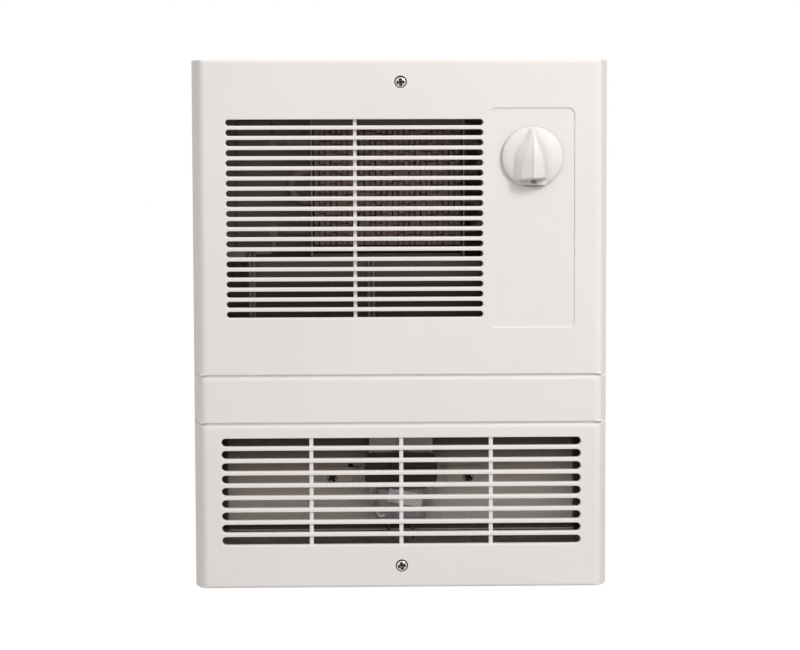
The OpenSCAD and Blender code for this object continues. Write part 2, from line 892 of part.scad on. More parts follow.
// ---- thermostat ----
module thermostat_body() {
  color("saddlebrown")
    difference() {
      union() {
        along_y(stat_y0, deck_y - 1.4)
          polygon(rounded(stat_x0, stat_z0, stat_x1, stat_z1, [3, 3, 3, 3], 3));
        bar_y(panel_x, knob_z, bush_r, bush_y, stat_y0 + 1);
      }
      bar_y(panel_x, knob_z, kshaft_r + 0.05, bush_y - 1, 3);
    }
}

module thermostat_bracket() {
  color("silver")
    difference() {
      union() {
        translate([stat_x0 - 1.2, stat_y0 - 1.2, knob_z - 14])
          cube([stat_x1 - stat_x0 + 2.4, 1.2, 28]);
        for (s = [0, 1])
          translate([panel_x, 0, 0])
            mirror([s, 0, 0]) {
              translate([23, stat_y0 - 1.2, knob_z - 14])
                cube([1.2, deck_y - stat_y0 + 1.2, 28]);
              translate([23, deck_y - 1.2, knob_z - 14])
                cube([12, 1.2, 28]);
            }
      }
      bar_y(panel_x, knob_z, bush_r + 0.02, stat_y0 - 2, stat_y0 + 1);
      for (s = [-1, 1])
        bar_y(panel_x + s * 29.5, knob_z, 1.8, deck_y - 2, deck_y + 1);
    }
}

module bushing_nut() {
  color("silver")
    translate([panel_x, stat_y0 - 1.2, knob_z])
      rotate([90, 0, 0])
        difference() {
          cylinder(r = 7.6, h = 2.6, $fn = 6);
          translate([0, 0, -1])
            cylinder(r = bush_r + 0.02, h = 5);
        }
}

module thermostat_terminals() {
  color("gold")
    for (x = tab_x)
      translate([x - 3.1, lead_y - 0.8, 93])
        cube([6.2, 0.8, stat_z0 - 93]);
}

module thermostat_screws() {
  color("silver")
    for (s = [-1, 1])
      pan_screw(panel_x + s * 29.5, knob_z, deck_y - 1.2, 3.4, 2, 1.7, 6);
}

module thermostat_shaft() {
  color("silver")
    difference() {
      bar_y(panel_x, knob_z, kshaft_r, knob_y - 9.5, 2.6);
      translate([panel_x - 5, knob_y - 11, knob_z + kshaft_r - 1.3])
        cube([10, 11, 4]);
    }
}

// one cross-section of the grip: an arch of half width w over the dome, crest at top
module grip_rib(y, w, top) {
  low = 7 * min(1, top / 12);
  translate([0, y, 0])
    rotate([90, 0, 0])
      linear_extrude(0.1)
        polygon(concat([[-w, 3], [w, 3]],
          [for (t = [1, 0.85, 0.6, 0.3, 0, -0.3, -0.6, -0.85, -1])
            [w * t, low + (top - low) * pow(1 - pow(abs(t), 1.6), 0.85)]]));
}

// the pointer grip rises from the rim at its top and ends blunt below the middle
module knob_grip() {
  r = knob_d / 2;
  hull() {
    grip_rib(r - 1.9, 1.6, 6.9);
    grip_rib(16, 4.8, 10.6);
    grip_rib(8, 7.9, 14.8);
    grip_rib(-1, 9.8, knob_deep);
    grip_rib(-9, 9.9, knob_deep - 0.4);
    grip_rib(-13.6, 8.8, knob_deep - 1.4);
    grip_rib(-15, 8.2, 11);
  }
}

// the knob in its own frame: z is out of the panel, y is up
module knob_shape() {
  r = knob_d / 2;
  difference() {
    union() {
      rotate_extrude($fn = 48)
        polygon(concat([[0, 0], [r - 0.4, 0]], arc(r - 1.4, 1.8, 1.4, -20, 50, 3),
          [[r - 3, 4.7], [r - 7, 6.6], [r - 12, 7.9], [7, 8.6], [0, 8.8]]));
      knob_grip();
    }
    translate([0, -r + 5.4, 4.9])
      cylinder(r = 2, h = 6);
    translate([-15, -r - 1, -1])
      cube([30, 1 + notch_deep, 12]);
    translate([0, 0, -1])
      rotate_extrude($fn = 48)
        polygon([[6.4, 0], [r - 2.4, 0], [r - 2.8, 3.4], [r - 8, 6], [12, 7.6], [6.4, 8]]);
    difference() {
      translate([0, 0, -1])
        cylinder(r = kshaft_r + 0.03, h = 11);
      translate([-5, kshaft_r - 1.27, -2])
        cube([10, 4, 14]);
    }
  }
}

module thermostat_knob() {
  color("white")
    translate([panel_x, knob_y, knob_z])
      rotate([90, 0, 0])
        knob_shape();
}

rough_in_can();
cover_lugs();
front_cover();
cover_screws();
screw_washers();
fan_deck();
deck_brackets();
deck_screws();
scroll_housing();
air_deflector();
element_end_plates();
element_fins();
element_tube();
element_terminals();
element_lead();
limit_switch();
terminal_block();
heater_leads();
motor_leads();
spade_connectors();
motor_stator();
motor_coil();
coil_bobbin();
motor_front_bracket();
motor_mount();
motor_bearings();
motor_screws();
mount_screws();
motor_shaft();
motor_rotor();
blower_wheel();
wheel_set_screw();
thermostat_body();
thermostat_bracket();
bushing_nut();
thermostat_terminals();
thermostat_screws();
thermostat_shaft();
thermostat_knob();
ground_screw();
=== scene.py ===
import json
import math
import random

import bpy
from mathutils import Matrix, Vector
from mathutils.geometry import delaunay_2d_cdt


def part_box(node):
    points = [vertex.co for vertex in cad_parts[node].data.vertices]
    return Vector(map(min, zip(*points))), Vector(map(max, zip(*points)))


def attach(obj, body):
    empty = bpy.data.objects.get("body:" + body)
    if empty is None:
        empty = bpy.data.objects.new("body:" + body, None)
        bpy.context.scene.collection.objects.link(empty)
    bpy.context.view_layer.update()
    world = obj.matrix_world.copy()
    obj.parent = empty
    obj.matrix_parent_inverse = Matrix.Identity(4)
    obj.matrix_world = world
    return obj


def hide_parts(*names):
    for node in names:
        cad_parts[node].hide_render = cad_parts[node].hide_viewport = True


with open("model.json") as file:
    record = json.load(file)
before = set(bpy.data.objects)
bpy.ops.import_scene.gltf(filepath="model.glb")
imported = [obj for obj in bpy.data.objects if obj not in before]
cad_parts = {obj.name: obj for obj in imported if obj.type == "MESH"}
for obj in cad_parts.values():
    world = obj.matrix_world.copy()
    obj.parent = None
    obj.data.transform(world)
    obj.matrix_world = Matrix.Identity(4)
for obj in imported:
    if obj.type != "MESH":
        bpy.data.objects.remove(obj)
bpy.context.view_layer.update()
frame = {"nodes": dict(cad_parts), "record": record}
random.seed(7)

# Lengths are millimetres in the part's own frame, unless a comment says metres:
# +X to the right, +Y into the wall, +Z up, with the wall's surface at y = 0.
MM = 0.001
pi, sin, cos = math.pi, math.sin, math.cos
X, Y, Z = 0, 1, 2


# ---------------------------------------------------------------- shader helper
def linear(level):
    """An sRGB level of 0 to 255 as linear light."""
    c = level / 255.0
    return c / 12.92 if c <= 0.04045 else ((c + 0.055) / 1.055) ** 2.4


def rgb(r, g, b):
    return (linear(r), linear(g), linear(b), 1.0)


class Shader:
    """A small helper that adds and links shader nodes. Texture scales are per metre."""

    def __init__(self, name):
        self.mat = bpy.data.materials.new(name)
        self.mat.use_nodes = True
        self.nt = self.mat.node_tree
        self.bsdf = self.nt.nodes["Principled BSDF"]
        self.coord = self.add("ShaderNodeTexCoord").outputs["Object"]

    def add(self, kind, **settings):
        n = self.nt.nodes.new(kind)
        for k, v in settings.items():
            setattr(n, k, v)
        return n

    def link(self, a, b):
        self.nt.links.new(a, b)

    def feed(self, socket, value):
        """Gives a socket a plain value, or links another socket to it."""
        if isinstance(value, bpy.types.NodeSocket):
            self.link(value, socket)
        else:
            socket.default_value = value

    def calc(self, operation, *values):
        """A math node; each value is a number or a socket."""
        n = self.add("ShaderNodeMath", operation=operation)
        for socket, value in zip(n.inputs, values):
            self.feed(socket, value)
        return n.outputs[0]

    def place(self):
        """The x, y and z of a point of the part, in metres."""
        n = self.add("ShaderNodeSeparateXYZ")
        self.link(self.coord, n.inputs[0])
        return n.outputs

    def scaled(self, sx, sy, sz):
        m = self.add("ShaderNodeMapping")
        m.inputs["Scale"].default_value = (sx, sy, sz)
        self.link(self.coord, m.inputs["Vector"])
        return m.outputs["Vector"]

    def noise(self, scale, detail=3.0, rough=0.5, vector=None):
        n = self.add("ShaderNodeTexNoise")
        n.inputs["Scale"].default_value = scale
        n.inputs["Detail"].default_value = detail
        n.inputs["Roughness"].default_value = rough
        self.link(vector or self.coord, n.inputs["Vector"])
        return n.outputs["Fac"]

    def cells(self, scale, feature="F1", out="Distance"):
        n = self.add("ShaderNodeTexVoronoi", feature=feature)
        n.inputs["Scale"].default_value = scale
        self.link(self.coord, n.inputs["Vector"])
        return n.outputs[out]

    def ramp(self, fac, stops):
        n = self.add("ShaderNodeValToRGB")
        e = n.color_ramp.elements
        while len(e) < len(stops):
            e.new(0.5)
        for i, (p, c) in enumerate(stops):
            e[i].position = p
            e[i].color = c if len(c) == 4 else (*c, 1.0)
        self.link(fac, n.inputs["Fac"])
        return n.outputs["Color"]

    def grey(self, fac, a, b, lo=0.0, hi=1.0):
        """Maps lo to hi onto a to b."""
        n = self.add("ShaderNodeMapRange")
        n.inputs["From Min"].default_value = lo
        n.inputs["From Max"].default_value = hi
        n.inputs["To Min"].default_value = a
        n.inputs["To Max"].default_value = b
        self.link(fac, n.inputs["Value"])
        return n.outputs["Result"]

    def multiply(self, color, by, factor=1.0):
        """Multiplies one colour by another to the extent that factor says."""
        n = self.add("ShaderNodeMix", data_type="RGBA", blend_type="MULTIPLY")
        self.feed(n.inputs["Factor"], factor)
        self.link(color, n.inputs["A"])
        self.link(by, n.inputs["B"])
        return n.outputs["Result"]

    def bump(self, height, distance, strength=1.0):
        """distance is in metres."""
        n = self.add("ShaderNodeBump")
        n.inputs["Distance"].default_value = distance
        n.inputs["Strength"].default_value = strength
        self.link(height, n.inputs["Height"])
        self.link(n.outputs["Normal"], self.bsdf.inputs["Normal"])

    def set(self, **values):
        names = {"color": "Base Color", "rough": "Roughness", "metal": "Metallic",
                 "spec": "Specular IOR Level"}
        for k, v in values.items():
            self.feed(self.bsdf.inputs[names[k]], v)
        return self.mat


# ---------------------------------------------------------------- kinds of material
FULL = (1.0, 1.0, 1.0)
# Painted shade in recesses: how far it reaches, in metres, and how dark it gets.
RECESS_REACH = {"knob": 9 * MM, "screw": 3.5 * MM}
RECESS_SHADE = {"knob": [(0.6, (0.6, 0.59, 0.57)), (0.97, FULL)],
                "screw": [(0.55, (0.012, 0.011, 0.01)), (0.88, FULL)]}
CAN_INSIDE = ((X, 141.4), (Y, 85.4), (Z, 188.4))


def painted_recess_shade(s, color, kind):
    """Paints shade into a colour in recesses and creases, where little light reaches."""
    near = s.add("ShaderNodeAmbientOcclusion")
    near.inputs["Distance"].default_value = RECESS_REACH[kind]
    return s.multiply(color, s.ramp(near.outputs["AO"], RECESS_SHADE[kind]))


def inside_can(s):
    """1 on the inner faces of the can's walls, 0 on the outer ones."""
    xyz = s.place()
    within = [s.calc("LESS_THAN", s.calc("ABSOLUTE", xyz[axis]), limit * MM) for axis, limit in CAN_INSIDE]
    return s.calc("MULTIPLY", s.calc("MULTIPLY", within[0], within[1]), within[2])


def paint_shade_along(s, color, axis, stops, where=1.0):
    """Paints shade into a colour along one axis of the part; stops are (millimetres, factor).
    A darker stretch is a little warmer."""
    lo, hi = stops[0][0], stops[-1][0]
    shades = [((p - lo) / (hi - lo), (f * (1.14 - 0.14 * f), f * (0.92 + 0.08 * f), f * (0.8 + 0.2 * f)))
              for p, f in stops]
    along = s.grey(s.place()[axis], 0.0, 1.0, lo * MM, hi * MM)
    return s.multiply(color, s.ramp(along, shades), where)


def enamel(name, light, dark, rough=0.5, grain=0.00003, spec=0.25, shaded=False):
    """Baked paint or moulded plastic: a slow change of tone under a fine grain; with shaded, painted shade
    in its recesses and creases.
    """
    s = Shader(name)
    tone = s.noise(9.0, 4.0)
    fine = s.noise(1400.0, 2.0)
    s.bump(fine, grain)
    color = s.ramp(tone, [(0.3, dark), (0.7, light)])
    if shaded:
        # painted shade in recesses and creases
        color = painted_recess_shade(s, color, "knob")
    return s.set(color=color, rough=s.grey(fine, rough - 0.05, rough + 0.06), spec=spec)


def galvanised(name, light, dark):
    """Hot-dipped sheet with a clear spangle."""
    s = Shader(name)
    spangle = 90.0
    level = s.add("ShaderNodeRGBToBW")
    s.link(s.cells(spangle, out="Color"), level.inputs["Color"])
    patch = level.outputs["Val"]
    smear = s.noise(35.0, 5.0, 0.6)
    mixed = s.calc("MULTIPLY_ADD", patch, 0.45, s.grey(smear, 0.0, 0.6))
    s.bump(s.cells(spangle, feature="DISTANCE_TO_EDGE"), 0.00006, 0.35)
    return s.set(color=s.ramp(mixed, [(0.15, dark), (0.75, light)]),
                 rough=s.grey(patch, 0.34, 0.55), metal=0.85)


def sheet_metal(name, light, dark, metal, rough, shade_stops=(), inner=False):
    """Rolled galvanised sheet: long soft streaks and small even spangle, with painted shade along chosen
    axes.
    The shade stops are (axis, stops); with inner the painted shade falls only on the can's inner faces."""
    s = Shader(name)
    streak = s.noise(6.0, 5.0, 0.65, s.scaled(4.0, 4.0, 40.0))
    small = s.noise(260.0, 2.0)
    mixed = s.calc("MULTIPLY_ADD", small, 0.3, s.grey(streak, 0.0, 0.7))
    color = s.ramp(mixed, [(0.25, dark), (0.75, light)])
    where = inside_can(s) if inner else 1.0
    # painted shade along each axis
    for axis, stops in shade_stops:
        color = paint_shade_along(s, color, axis, stops, where)
    s.bump(small, 0.00002)
    return s.set(color=color, rough=s.grey(streak, rough - 0.08, rough + 0.1), metal=metal)


def screw_plate(name, light, dark, rough):
    """Bright plating, with painted shade down in the recesses."""
    s = Shader(name)
    n = s.noise(500.0, 3.0)
    # painted shade, near black, down in the cross recess and round the head
    color = painted_recess_shade(s, s.ramp(n, [(0.3, dark), (0.7, light)]), "screw")
    s.bump(n, 0.00001)
    return s.set(color=color, rough=s.grey(n, rough - 0.04, rough + 0.06), metal=0.75)


def plated(name, light, dark, rough=0.3, metal=0.95, scale=300.0):
    """Plated or bare metal with a fine mottle."""
    s = Shader(name)
    n = s.noise(scale, 4.0, 0.6)
    s.bump(n, 0.00002)
    return s.set(color=s.ramp(n, [(0.3, dark), (0.7, light)]),
                 rough=s.grey(n, rough - 0.06, rough + 0.1), metal=metal)


def moulded(name, light, dark, rough=0.5, scale=160.0):
    """Moulded plastic, ceramic or paper with a matt grain."""
    s = Shader(name)
    n = s.noise(scale, 4.0, 0.55)
    s.bump(s.noise(900.0, 2.0), 0.00004)
    return s.set(color=s.ramp(n, [(0.3, dark), (0.7, light)]),
                 rough=s.grey(n, rough - 0.06, rough + 0.08))


def banded(name, light, dark, per_metre, axis, rough=0.4, metal=0.9, deep=0.0001):
    """Fine parallel lines across one axis, such as a stack of laminations."""
    s = Shader(name)
    w = s.add("ShaderNodeTexWave", wave_type="BANDS", bands_direction=axis)
    w.inputs["Scale"].default_value = per_metre
    w.inputs["Distortion"].default_value = 0.4
    s.link(s.coord, w.inputs["Vector"])
    lines = w.outputs["Fac"]
    mixed = s.calc("MULTIPLY_ADD", lines, 0.5, s.grey(s.noise(120.0, 4.0), 0.0, 0.5))
    s.bump(lines, deep)
    return s.set(color=s.ramp(mixed, [(0.2, dark), (0.8, light)]), rough=rough, metal=metal)


def braided(name, light, dark):
    """A woven sleeve: two crossing sets of fine bands over a slow change of tone."""
    s = Shader(name)
    per_metre = 7000.0
    weave = []
    for direction in ((1.0, 0.4, 1.0), (1.0, 0.4, -1.0)):
        dot = s.add("ShaderNodeVectorMath", operation="DOT_PRODUCT")
        s.link(s.coord, dot.inputs[0])
        dot.inputs[1].default_value = [c * per_metre for c in direction]
        weave.append(s.calc("SINE", dot.outputs["Value"]))
    height = s.grey(s.calc("MAXIMUM", *weave), 0.0, 1.0, -1.0, 1.0)
    stain = s.noise(60.0, 4.0)
    mixed = s.calc("MULTIPLY_ADD", height, 0.4, s.grey(stain, 0.0, 0.7))
    s.bump(height, 0.00012)
    return s.set(color=s.ramp(mixed, [(0.3, dark), (0.8, light)]), rough=s.grey(stain, 0.6, 0.8))


# ---------------------------------------------------------------- the materials
# Painted shade on the inner parts behind the slots, row by row: (millimetres along the axis, factor).
CAN_FOOT_SHADE = [(-176, 1.0), (-172.6, 0.9), (-172.2, 0.2), (-171.8, 0.25), (-171.5, 1.0), (-170.6, 1.0),
            (-170.2, 0.4)]
CAN_HEIGHT_SHADE = [(-170, 1.0), (-166, 0.51), (-60, 0.51), (-2, 1.0), (12, 0.7), (40, 0.55), (50, 0.5),
              (55, 1.0), (160, 1.0)]
DECK_LIP_SHADE = [(-160, 1.0), (-158.3, 1.0), (-158.15, 0.12), (-152.6, 0.12), (-151.8, 1.0), (-150, 1.0)]
DECK_HEIGHT_SHADE = [(-151, 0.95), (-139, 0.95), (-130, 0.86), (-120, 0.68), (-111, 0.5), (-101, 0.26),
               (-92, 0.13), (-84, 0.1), (-40, 0.17), (8, 0.115), (18, 0.06), (27, 0.065), (33, 0.18),
               (40, 0.22), (47.5, 0.24), (48, 0.3)]
DECK_WIDTH_SHADE = [(-138, 0.05), (-131.8, 0.08), (-131, 0.8), (-20, 0.86), (40, 1.0), (131.4, 1.0),
              (132.2, 0.1), (138, 0.05)]
FIN_DEPTH_SHADE = [(17.6, 0.33), (18.6, 0.33), (19.6, 1.0), (42, 1.0)]
BROW_HEIGHT_SHADE = [(49, 0.12), (57, 0.2), (66, 1.0), (140, 1.0), (145, 0.62), (158, 0.62)]
# Painted shadow on the washers: darkest along their upper side, where the cup's rim shades them.
WASHER_TOP_SHADOW = [(-185.5, 0.4), (-181.5, 0.25), (-178.6, 0.06), (-176, 0.01), (176, 0.4), (180, 0.25),
                 (183, 0.06), (185.5, 0.01)]

MAT = {
    "enamel": enamel("enamel", rgb(231, 227, 224), rgb(228, 223, 220)),
    "knob_white": enamel("knob_white", rgb(229, 225, 221), rgb(226, 222, 218), rough=0.48,
                         grain=0.00001, spec=0.3, shaded=True),
    "galvanised": galvanised("galvanised", rgb(168, 158, 148), rgb(128, 120, 112)),
    "zinc_steel": plated("zinc_steel", rgb(188, 187, 180), rgb(150, 148, 142), rough=0.38),
    "nickel_steel": screw_plate("nickel_steel", rgb(240, 238, 234), rgb(220, 218, 214), rough=0.3),
    # the can, the deck, the fins and the deflector carry the painted shade from the stops above
    "can_steel": sheet_metal("can_steel", rgb(236, 226, 217), rgb(212, 201, 191), metal=0.05,
                             rough=0.45, shade_stops=((Z, CAN_FOOT_SHADE), (Z, CAN_HEIGHT_SHADE)), inner=True),
    "deck_steel": sheet_metal("deck_steel", rgb(214, 209, 202), rgb(186, 181, 174), metal=0.45,
                              rough=0.42, shade_stops=((Z, DECK_LIP_SHADE), (Z, DECK_HEIGHT_SHADE), (X, DECK_WIDTH_SHADE))),
    "brown_sleeve": braided("brown_sleeve", rgb(112, 100, 94), rgb(84, 74, 68)),
    "fin_steel": sheet_metal("fin_steel", rgb(206, 184, 176), rgb(164, 144, 136), metal=0.1,
                             rough=0.5, shade_stops=((Y, FIN_DEPTH_SHADE),)),
    "brow": sheet_metal("brow", rgb(150, 142, 134), rgb(120, 113, 106), metal=0.3,
                        rough=0.5, shade_stops=((Z, BROW_HEIGHT_SHADE),)),
    "sheath": plated("sheath", rgb(150, 132, 120), rgb(104, 92, 84), rough=0.5, metal=0.4, scale=60.0),
    "ceramic": moulded("ceramic", rgb(140, 128, 114), rgb(112, 102, 90), rough=0.7),
    "phenolic": moulded("phenolic", rgb(66, 46, 36), rgb(40, 28, 22), rough=0.4),
    "block_nylon": moulded("block_nylon", rgb(140, 130, 118), rgb(122, 112, 101), rough=0.55),
    "glass_sleeve": braided("glass_sleeve", rgb(150, 140, 130), rgb(104, 96, 88)),
    "red_vinyl": moulded("red_vinyl", rgb(166, 44, 36), rgb(132, 30, 26), rough=0.4),
    "laminations": banded("laminations", rgb(150, 145, 140), rgb(98, 95, 92), 900.0, "Y",
                          rough=0.45, metal=0.5),
    "coil_tape": banded("coil_tape", rgb(150, 143, 148), rgb(122, 116, 120), 260.0, "X",
                        rough=0.5, metal=0.0, deep=0.00015),
    "bobbin": moulded("bobbin", rgb(128, 122, 114), rgb(104, 98, 92)),
    "paper": moulded("paper", rgb(214, 210, 212), rgb(196, 190, 194), rough=0.7, scale=90.0),
    "black_zinc": plated("black_zinc", rgb(34, 22, 20), rgb(22, 13, 12), rough=0.5, metal=0.1),
    "washer": sheet_metal("washer", rgb(214, 210, 204), rgb(190, 186, 180), metal=0.4,
                          rough=0.4, shade_stops=((Z, WASHER_TOP_SHADOW),)),
    "dark_screw": screw_plate("dark_screw", rgb(150, 142, 134), rgb(120, 112, 104), rough=0.35),
    "bronze": plated("bronze", rgb(178, 140, 84), rgb(132, 98, 56), rough=0.38),
    "shaft_steel": plated("shaft_steel", rgb(186, 186, 188), rgb(150, 150, 152), rough=0.24),
    "rotor_steel": banded("rotor_steel", rgb(132, 132, 134), rgb(84, 84, 88), 1100.0, "Y"),
    "wheel_alu": plated("wheel_alu", rgb(196, 196, 194), rgb(160, 160, 158), rough=0.36),
    "brass": plated("brass", rgb(206, 172, 98), rgb(164, 130, 66)),
    "green_screw": plated("green_screw", rgb(40, 116, 60), rgb(20, 78, 40), rough=0.36, metal=0.5),
}
SLOT_OF = {s["node"]: s["material_slot"] for s in frame["record"]["subparts"]}
FINISH_OF = {"air_deflector": "brow"}
for cad, obj in frame["nodes"].items():
    obj.data.materials.clear()
    obj.data.materials.append(MAT[FINISH_OF.get(cad, SLOT_OF[cad])])


# ---------------------------------------------------------------- mesh helpers
def piece(name, b, body, slot, angle=40.0, replaces=(), finish=None):
    """Makes one piece of a build; edges sharper than angle stay sharp."""
    me = bpy.data.meshes.new(name)
    me.from_pydata([(x * MM, y * MM, z * MM) for x, y, z in b.v], [], b.f)
    me.validate()
    me.materials.append(MAT[finish or slot])
    me.shade_smooth()
    me.set_sharp_from_angle(angle=math.radians(angle))
    o = bpy.data.objects.new(name, me)
    bpy.context.scene.collection.objects.link(o)
    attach(o, body)
    if replaces:
        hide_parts(*replaces)
    return o


def within(polygon, x, z):
    """True where an even-odd count of crossings puts a point inside a polygon."""
    inside = False
    for p, q in zip(polygon, polygon[1:] + polygon[:1]):
        if (p.y > z) != (q.y > z) and x < (q.x - p.x) * (z - p.y) / (q.y - p.y) + p.x:
            inside = not inside
    return inside


class Build:
    """Collects vertices and faces for one piece."""

    def __init__(self):
        self.v, self.f = [], []

    def ring(self, pts):
        a = len(self.v)
        self.v.extend(pts)
        return list(range(a, a + len(pts)))

    def bridge(self, a, b, closed=True):
        n = len(a)
        for i in range(n if closed else n - 1):
            j = (i + 1) % n
            self.f.append((a[i], a[j], b[j], b[i]))

    def loft(self, rings, closed=True):
        ids = [self.ring(r) for r in rings]
        for a, b in zip(ids, ids[1:]):
            self.bridge(a, b, closed)
        return ids

    def rod(self, rings):
        """A loft with both ends closed."""
        ids = self.loft(rings)
        self.f.append(tuple(reversed(ids[0])))
        self.f.append(tuple(ids[-1]))

    def fan(self, tip, ring, flip=False):
        """Closes a ring with triangles that meet in one point."""
        mid = self.ring([tip])[0]
        for a, b in zip(ring, ring[1:] + ring[:1]):
            self.f.append((mid, a, b) if flip else (mid, b, a))

    def flat(self, loops, flip=False):
        """Fills the plane that the loops of vertex ids lie in, between the first and the others."""
        ids = [i for loop in loops for i in loop]
        co = [Vector((self.v[i][X], self.v[i][Z])) for i in ids]
        edges, polygons, k = [], [], 0
        for loop in loops:
            n = len(loop)
            edges += [(k + i, k + (i + 1) % n) for i in range(n)]
            polygons.append(co[k:k + n])
            k += n
        boxes = [(min(p.x for p in q), max(p.x for p in q), min(p.y for p in q), max(p.y for p in q))
                 for q in polygons]
        points, _, faces, sources = delaunay_2d_cdt(co, edges, [], 0, 1e-6)[:4]
        vertex = [ids[source[0]] if source else None for source in sources]
        for face in faces:
            c = sum((Vector(points[i]) for i in face), Vector((0, 0))) / len(face)
            around = [q for q, (x0, x1, z0, z1) in zip(polygons, boxes)
                      if x0 <= c.x <= x1 and z0 <= c.y <= z1 and within(q, c.x, c.y)]
            if len(around) % 2 and all(vertex[i] is not None for i in face):
                t = tuple(vertex[i] for i in face)
                self.f.append(t[::-1] if flip else t)


def arc(cx, cz, r, a0, a1, n):
    angles = [math.radians(a0 + (a1 - a0) * i / n) for i in range(n + 1)]
    return [(cx + r * cos(a), cz + r * sin(a)) for a in angles]


def circle(cx, cz, r, n):
    """n points round a circle, anticlockwise from the right."""
    return arc(cx, cz, r, 0, 360 * (n - 1) / n, n - 1)


def rounded(x0, z0, x1, z1, radii, n=6):
    """Corner order: bottom left, bottom right, top right, top left. Anticlockwise from the front."""
    a, b, c, d = radii
    return (arc(x0 + a, z0 + a, a, 180, 270, n) + arc(x1 - b, z0 + b, b, 270, 360, n)
            + arc(x1 - c, z1 - c, c, 0, 90, n) + arc(x0 + d, z1 - d, d, 90, 180, n))


def at(loop, y):
    return [(x, y, z) for x, z in loop]


# ---------------------------------------------------------------- cover: sizes
RIM_X, RIM_Z, TOP_Z = 155.5, 198.6, 197.6    # half width, depth below and height above the middle
FACE, DEEP, BACK = -22.0, -17.4, -19.4       # y of the face, the grilles' backs and the inner face
LEAN, EDGE, FLANK = 5.0, 6.2, -16.8          # the sides' lean, their soft edge's width and first y
WALL = 2.6                                   # thickness of the rim
INSET = 0.25                                 # how far past its edges a section's face begins
CORNER_STEPS, TURN_STEPS, LIP_STEPS = 6, 9, 4
GROOVE_1, GROOVE_2, GROOVE_HALF = -37.4, -73.3, 0.85
GROOVE_INSET, GROOVE_DEEP = 1.1, 1.8
CORE_Z = (-77.0, -33.0)                      # reach of the strip that is the grooves' floor
RIM_RADII = (1.01, 1.01, 1.2, 1.2)
PANEL, PANEL_R, PANEL_Y = (65.9, -1.8, 129.5, 161.6), 5.0, -21.0
KNOB_X, KNOB_Z = 97.7, 125.1
KNOB_SEAT_R, KNOB_SEAT_Y, SHAFT_HOLE_R = 22.1, -19.7, 6.5
SCREW_Z, SCREW_HOLE_R = 180.8, 2.5
CUP_R, CUP_Y, BOSS_R, BOSS_Y = 4.62, -19.9, 5.5, 0.7
UPPER = {"count": 20, "first_z": 151.05, "pitch": 7.5, "x0": -129.7, "x1": 61.2, "high": 4.5, "lip": 1.2}
LOWER = {"count": 9, "first_z": -87.2, "pitch": 9.28, "x0": -134.5, "x1": 134.5, "high": 6.1, "lip": 1.3}
PADS = ((-133.4, 3.2, 65.1, 157.7), (-138.5, -167.1, 138.5, -80.9))    # behind the two grilles
# Sections between the grooves, top first: z0, z1, radii, (lean, radius) of the top and of the bottom.
SECTIONS = (
    (GROOVE_1 + GROOVE_HALF, TOP_Z, (0.8, 0.8, 1.2, 1.2), (0.5, 2.2), (0.0, 0.7)),
    (GROOVE_2 + GROOVE_HALF, GROOVE_1 - GROOVE_HALF, (0.8, 0.8, 1.8, 1.8), (0.0, 2.8), (0.0, 0.7)),
    (-RIM_Z, GROOVE_2 - GROOVE_HALF, (1.01, 1.01, 1.8, 1.8), (0.0, 2.8), (1.5, 2.1)))
# Upright ribs behind the bars: x, width, distance back from the face, z0, z1.
RIBS = ((-34.0, 2.7, 3.5, 4.2, 156.7), (-67.5, 3.0, 1.25, -166, -82), (-0.2, 3.0, 1.25, -166, -82),
        (67.0, 3.0, 1.25, -166, -82))


# ---------------------------------------------------------------- cover: parts of its skin
def soft_edge(t):
    """The side's soft edge from flank to face: distance in from the rim, and y."""
    end = LEAN * FACE / FLANK
    u = 1 - t
    return u * u * LEAN + 2 * t * u * end + t * t * (LEAN + EDGE), u * u * FLANK + (1 - u * u) * FACE


def side_step(kind, t):
    """Distance in from the rim, and y, on a section's left and right side."""
    return {"rim": (0.0, 0.0), "flank": (LEAN * t, FLANK * t), "turn": soft_edge(t),
            "face": (LEAN + EDGE + INSET, FACE)}[kind]


def end_step(kind, t, lean, r):
    """Distance in from the edge, and y, at a section's top or bottom."""
    a = t * pi / 2
    return {"rim": (0.0, 0.0), "flank": (lean * t, (FACE + r) * t),
            "turn": (lean + r * (1 - cos(a)), FACE + r - r * sin(a)),
            "face": (lean + r + INSET, FACE)}[kind]


def pillow(b, z0, z1, radii, top, bottom):
    """One section of the cover: rim outline, leaning flanks and rounded edges up to the flat face.
    top and bottom are (lean, radius). Returns the ids of the loop where the flat face begins."""
    steps = [("rim", 0), ("flank", 0.35), ("flank", 0.7)]
    steps += [("turn", i / TURN_STEPS) for i in range(TURN_STEPS + 1)] + [("face", 1)]
    rings = []
    for kind, t in steps:
        side_in, side_y = side_step(kind, t)
        top_in, top_y = end_step(kind, t, *top)
        bottom_in, bottom_y = end_step(kind, t, *bottom)
        grown = t if kind in ("turn", "face") else 0.0
        corner_r = [r + (2.2 - 0.35 * r) * grown * (1.0 if r > 1.0 else 0.25) for r in radii]
        outline = rounded(-RIM_X + side_in, z0 + bottom_in, RIM_X - side_in, z1 - top_in, corner_r,
                          CORNER_STEPS)
        ring = []
        for i, (x, z) in enumerate(outline):
            corner, k = divmod(i, CORNER_STEPS + 1)
            # w runs from the side's profile to the top or bottom profile round a corner
            w = k / CORNER_STEPS if corner in (0, 2) else 1 - k / CORNER_STEPS
            w = w * w * (3 - 2 * w)
            end_y = bottom_y if corner in (0, 1) else top_y
            ring.append((x, side_y * (1 - w) + end_y * w, z))
        rings.append(ring)
    return b.loft(rings)[-1]


def hole(b, loops):
    """Lofts a hole's loops, given as (outline, y), and returns its first and last ids."""
    ids = b.loft([at(o, y) for o, y in loops])
    return ids[0], ids[-1]


